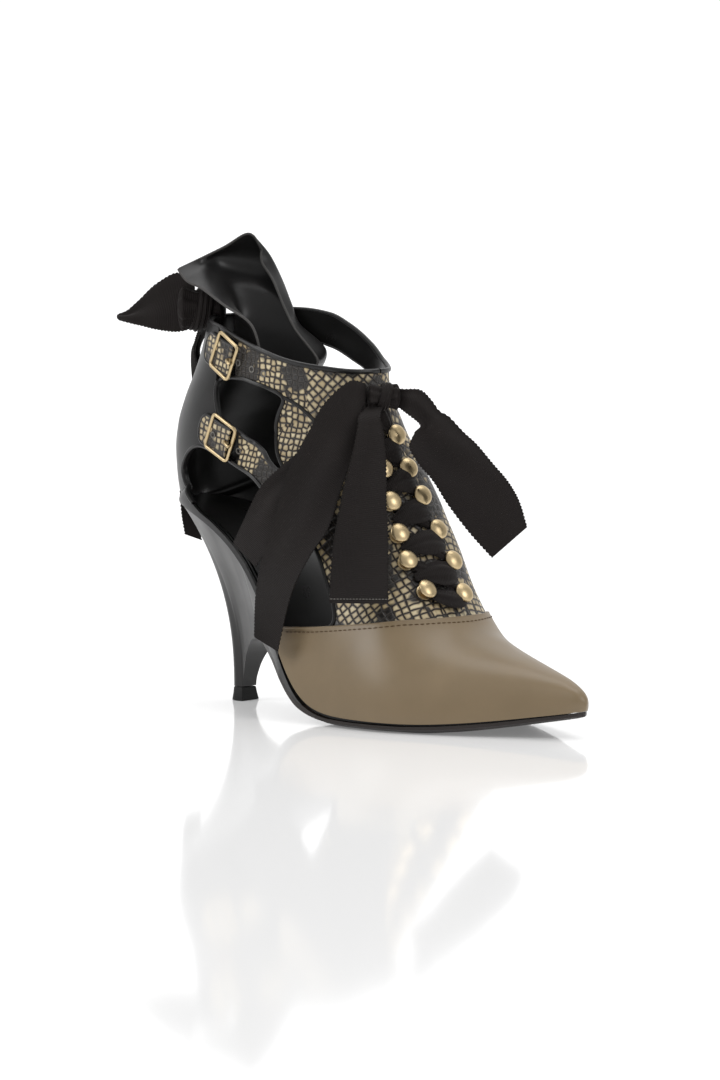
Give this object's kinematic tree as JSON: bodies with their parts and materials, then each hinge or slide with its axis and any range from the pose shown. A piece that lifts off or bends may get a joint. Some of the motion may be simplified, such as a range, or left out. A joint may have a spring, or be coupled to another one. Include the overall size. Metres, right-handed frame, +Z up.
{
  "type": "ankle shoe",
  "caption": "Pointed lace-up ankle shoe for the right foot, with buckled straps, ribbon ties, a leather flounce and a slim comma heel.",
  "frame": {"origin": "on the floor, in the middle of the forefoot's flat tread", "axes": "+X to the toe, +Y to the wearer's left, which is the inner side, +Z up"},
  "size_m": [0.2595, 0.0832, 0.2114],
  "materials": {
    "black_leather": "smooth, soft gloss",
    "tan_leather": "smooth, satin",
    "python_leather": "python scales, satin",
    "sole_leather": "smooth, satin",
    "top_piece_rubber": "matt",
    "ribbon": "ribbed, matt",
    "brass": "polished"
  },
  "bodies": {
    "root": {"upper": "python_leather", "toe_cap": "tan_leather", "counter": "black_leather", "insole": "black_leather", "outsole": "sole_leather", "heel": "black_leather", "top_piece": "top_piece_rubber", "lace": "ribbon", "buckle_upper": "brass", "buckle_lower": "brass", "prong_upper": "brass", "prong_lower": "brass", "strap_tip_upper": "python_leather", "strap_tip_lower": "python_leather", "flounce": "black_leather", "hook_outer_1": "brass", "hook_inner_1": "brass", "hook_outer_2": "brass", "hook_inner_2": "brass", "hook_outer_3": "brass", "hook_inner_3": "brass", "hook_outer_4": "brass", "hook_inner_4": "brass", "hook_outer_5": "brass", "hook_inner_5": "brass", "hook_outer_6": "brass", "hook_inner_6": "brass", "front_knot": "ribbon", "tail_a": "ribbon", "tail_b": "ribbon", "tail_c": "ribbon", "tail_d": "ribbon", "back_knot": "ribbon", "back_loop": "ribbon", "back_tail_1": "ribbon", "back_tail_2": "ribbon"}
  },
  "joints": []
}
